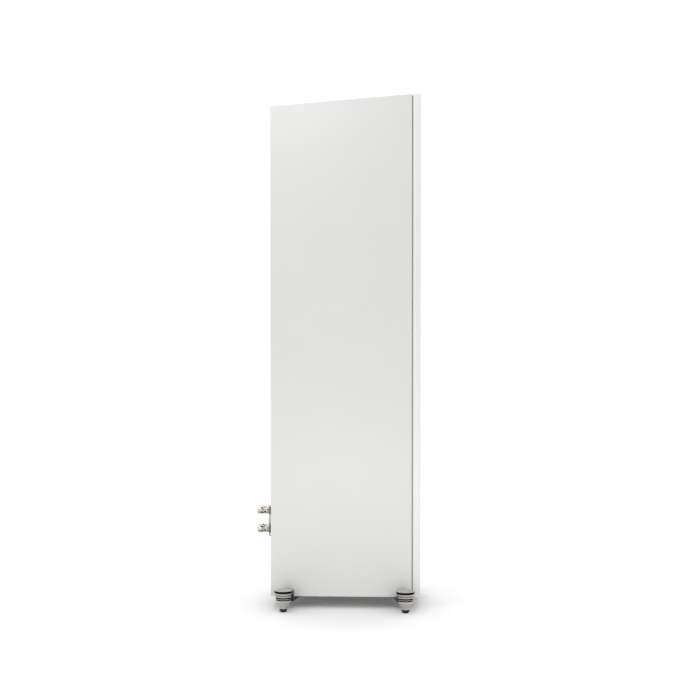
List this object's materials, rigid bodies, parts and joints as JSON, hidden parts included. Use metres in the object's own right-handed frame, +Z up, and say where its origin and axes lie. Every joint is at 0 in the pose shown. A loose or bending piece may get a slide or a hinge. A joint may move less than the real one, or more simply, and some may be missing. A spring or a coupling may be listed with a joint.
{
  "type": "floorstanding speaker",
  "caption": "Tall narrow floorstanding loudspeaker cabinet with a sloped top, cone drivers, rear reflex port, screw terminals and height-adjustable outrigger feet.",
  "frame": {"origin": "on the floor, under the middle of the outer box of cabinet, feet and terminal knobs", "axes": "+Z up, the front with its drivers faces -Y, the terminals face +Y, +X to the right of someone looking at the front"},
  "size_m": [0.3268, 0.358, 1.1048],
  "materials": {
    "lacquer": "satin off-white lacquer on board",
    "raw_board": "raw fibreboard",
    "felt": "pressed wool felt",
    "black_plastic": "satin moulded",
    "nickel": "bright nickel plate on brass",
    "black_cast": "black powder coat on a casting",
    "satin_aluminium": "satin, black side band",
    "satin_steel": "turned and satin",
    "rubber": "matt",
    "dome_metal": "satin anodised",
    "magnet": "ferrite between plated plates",
    "spider_cloth": "resin-stiffened cloth",
    "cone_fibre": "coated pulp",
    "circuit_board": "glass-fibre board",
    "copper_wire": "enamelled winding",
    "cable_sheath": "flexible sheath"
  },
  "bodies": {
    "cabinet": {"side_panel_left": "lacquer", "side_panel_right": "lacquer", "top_panel": "lacquer", "bottom_panel": "lacquer", "rear_panel": "lacquer", "front_baffle": "lacquer", "midrange_shelf": "raw_board", "upper_brace": "raw_board", "lower_brace": "raw_board", "damping_lining": "felt", "port_tube": "black_plastic", "terminal_plate": "black_plastic", "jumper_link_left": "nickel", "jumper_link_right": "nickel", "foot_arm_front_left": "black_cast", "foot_arm_front_right": "black_cast", "foot_arm_rear_left": "black_cast", "foot_arm_rear_right": "black_cast", "foot_cap_front_left": "satin_aluminium", "foot_cap_front_right": "satin_aluminium", "foot_cap_rear_left": "satin_aluminium", "foot_cap_rear_right": "satin_aluminium", "tweeter_faceplate": "black_cast", "tweeter_magnet": "magnet", "midrange_basket": "black_cast", "midrange_magnet": "magnet", "midrange_surround": "rubber", "midrange_spider": "spider_cloth", "woofer_upper_basket": "black_cast", "woofer_upper_magnet": "magnet", "woofer_upper_surround": "rubber", "woofer_upper_spider": "spider_cloth", "woofer_lower_basket": "black_cast", "woofer_lower_magnet": "magnet", "woofer_lower_surround": "rubber", "woofer_lower_spider": "spider_cloth", "crossover_board": "circuit_board", "crossover_coil": "copper_wire", "internal_wiring": "cable_sheath", "input_lead": "cable_sheath"},
    "tweeter_dome": {"tweeter_dome": "dome_metal"},
    "midrange_cone": {"midrange_cone": "cone_fibre"},
    "woofer_upper_cone": {"woofer_upper_cone": "cone_fibre"},
    "woofer_lower_cone": {"woofer_lower_cone": "cone_fibre"},
    "post_washer_lower_left": {"post_washer_lower_left": "nickel"},
    "post_washer_lower_right": {"post_washer_lower_right": "nickel"},
    "post_washer_upper_left": {"post_washer_upper_left": "nickel"},
    "post_washer_upper_right": {"post_washer_upper_right": "nickel"},
    "post_knob_lower_left": {"post_knob_lower_left": "nickel"},
    "post_knob_lower_right": {"post_knob_lower_right": "nickel"},
    "post_knob_upper_left": {"post_knob_upper_left": "nickel"},
    "post_knob_upper_right": {"post_knob_upper_right": "nickel"},
    "foot_tip_front_left": {"foot_tip_front_left": "rubber"},
    "foot_tip_front_right": {"foot_tip_front_right": "rubber"},
    "foot_tip_rear_left": {"foot_tip_rear_left": "rubber"},
    "foot_tip_rear_right": {"foot_tip_rear_right": "rubber"},
    "foot_spindle_front_left": {"foot_spindle_front_left": "satin_steel"},
    "foot_spindle_front_right": {"foot_spindle_front_right": "satin_steel"},
    "foot_spindle_rear_left": {"foot_spindle_rear_left": "satin_steel"},
    "foot_spindle_rear_right": {"foot_spindle_rear_right": "satin_steel"}
  },
  "joints": [
    {"name": "tweeter_dome_stroke", "type": "slide", "parent": "cabinet", "child": "tweeter_dome", "axis": [0, -1, 0], "range_m": [-0.0004, 0.0004], "stiffness_N_per_m": 9000},
    {"name": "midrange_cone_stroke", "type": "slide", "parent": "cabinet", "child": "midrange_cone", "axis": [0, -1, 0], "range_m": [-0.0025, 0.0025], "stiffness_N_per_m": 1700, "deforming": ["midrange_surround", "midrange_spider"]},
    {"name": "woofer_upper_cone_stroke", "type": "slide", "parent": "cabinet", "child": "woofer_upper_cone", "axis": [0, -1, 0], "range_m": [-0.005, 0.005], "stiffness_N_per_m": 1250, "deforming": ["woofer_upper_surround", "woofer_upper_spider"]},
    {"name": "woofer_lower_cone_stroke", "type": "slide", "parent": "cabinet", "child": "woofer_lower_cone", "axis": [0, -1, 0], "range_m": [-0.005, 0.005], "stiffness_N_per_m": 1250, "deforming": ["woofer_lower_surround", "woofer_lower_spider"]},
    {"name": "post_lower_left_travel", "type": "slide", "parent": "cabinet", "child": "post_washer_lower_left", "axis": [0, 1, 0], "range_m": [0, 0.005]},
    {"name": "post_lower_left_turn", "type": "hinge", "parent": "post_washer_lower_left", "child": "post_knob_lower_left", "pos_m": [-0.015, 0.143, 0.159], "axis": [0, 1, 0], "range_deg": [0, 1800]},
    {"name": "post_lower_right_travel", "type": "slide", "parent": "cabinet", "child": "post_washer_lower_right", "axis": [0, 1, 0], "range_m": [0, 0.005]},
    {"name": "post_lower_right_turn", "type": "hinge", "parent": "post_washer_lower_right", "child": "post_knob_lower_right", "pos_m": [0.015, 0.143, 0.159], "axis": [0, 1, 0], "range_deg": [0, 1800]},
    {"name": "post_upper_left_travel", "type": "slide", "parent": "cabinet", "child": "post_washer_upper_left", "axis": [0, 1, 0], "range_m": [0, 0.005]},
    {"name": "post_upper_left_turn", "type": "hinge", "parent": "post_washer_upper_left", "child": "post_knob_upper_left", "pos_m": [-0.015, 0.143, 0.2], "axis": [0, 1, 0], "range_deg": [0, 1800]},
    {"name": "post_upper_right_travel", "type": "slide", "parent": "cabinet", "child": "post_washer_upper_right", "axis": [0, 1, 0], "range_m": [0, 0.005]},
    {"name": "post_upper_right_turn", "type": "hinge", "parent": "post_washer_upper_right", "child": "post_knob_upper_right", "pos_m": [0.015, 0.143, 0.2], "axis": [0, 1, 0], "range_deg": [0, 1800]},
    {"name": "foot_front_left_height", "type": "slide", "parent": "cabinet", "child": "foot_tip_front_left", "axis": [0, 0, -1], "range_m": [0, 0.006]},
    {"name": "foot_front_left_turn", "type": "hinge", "parent": "foot_tip_front_left", "child": "foot_spindle_front_left", "pos_m": [-0.144, -0.148, 0], "axis": [0, 0, -1], "range_deg": [0, 1728]},
    {"name": "foot_front_right_height", "type": "slide", "parent": "cabinet", "child": "foot_tip_front_right", "axis": [0, 0, -1], "range_m": [0, 0.006]},
    {"name": "foot_front_right_turn", "type": "hinge", "parent": "foot_tip_front_right", "child": "foot_spindle_front_right", "pos_m": [0.144, -0.148, 0], "axis": [0, 0, -1], "range_deg": [0, 1728]},
    {"name": "foot_rear_left_height", "type": "slide", "parent": "cabinet", "child": "foot_tip_rear_left", "axis": [0, 0, -1], "range_m": [0, 0.006]},
    {"name": "foot_rear_left_turn", "type": "hinge", "parent": "foot_tip_rear_left", "child": "foot_spindle_rear_left", "pos_m": [-0.144, 0.112, 0], "axis": [0, 0, -1], "range_deg": [0, 1728]},
    {"name": "foot_rear_right_height", "type": "slide", "parent": "cabinet", "child": "foot_tip_rear_right", "axis": [0, 0, -1], "range_m": [0, 0.006]},
    {"name": "foot_rear_right_turn", "type": "hinge", "parent": "foot_tip_rear_right", "child": "foot_spindle_rear_right", "pos_m": [0.144, 0.112, 0], "axis": [0, 0, -1], "range_deg": [0, 1728]}
  ],
  "couplings": [
    {"joint": "post_lower_left_turn", "follows": "post_lower_left_travel", "rad_per_m": 6283.2},
    {"joint": "post_lower_right_turn", "follows": "post_lower_right_travel", "rad_per_m": 6283.2},
    {"joint": "post_upper_left_turn", "follows": "post_upper_left_travel", "rad_per_m": 6283.2},
    {"joint": "post_upper_right_turn", "follows": "post_upper_right_travel", "rad_per_m": 6283.2},
    {"joint": "foot_front_left_turn", "follows": "foot_front_left_height", "rad_per_m": 5026.5},
    {"joint": "foot_front_right_turn", "follows": "foot_front_right_height", "rad_per_m": 5026.5},
    {"joint": "foot_rear_left_turn", "follows": "foot_rear_left_height", "rad_per_m": 5026.5},
    {"joint": "foot_rear_right_turn", "follows": "foot_rear_right_height", "rad_per_m": 5026.5}
  ]
}
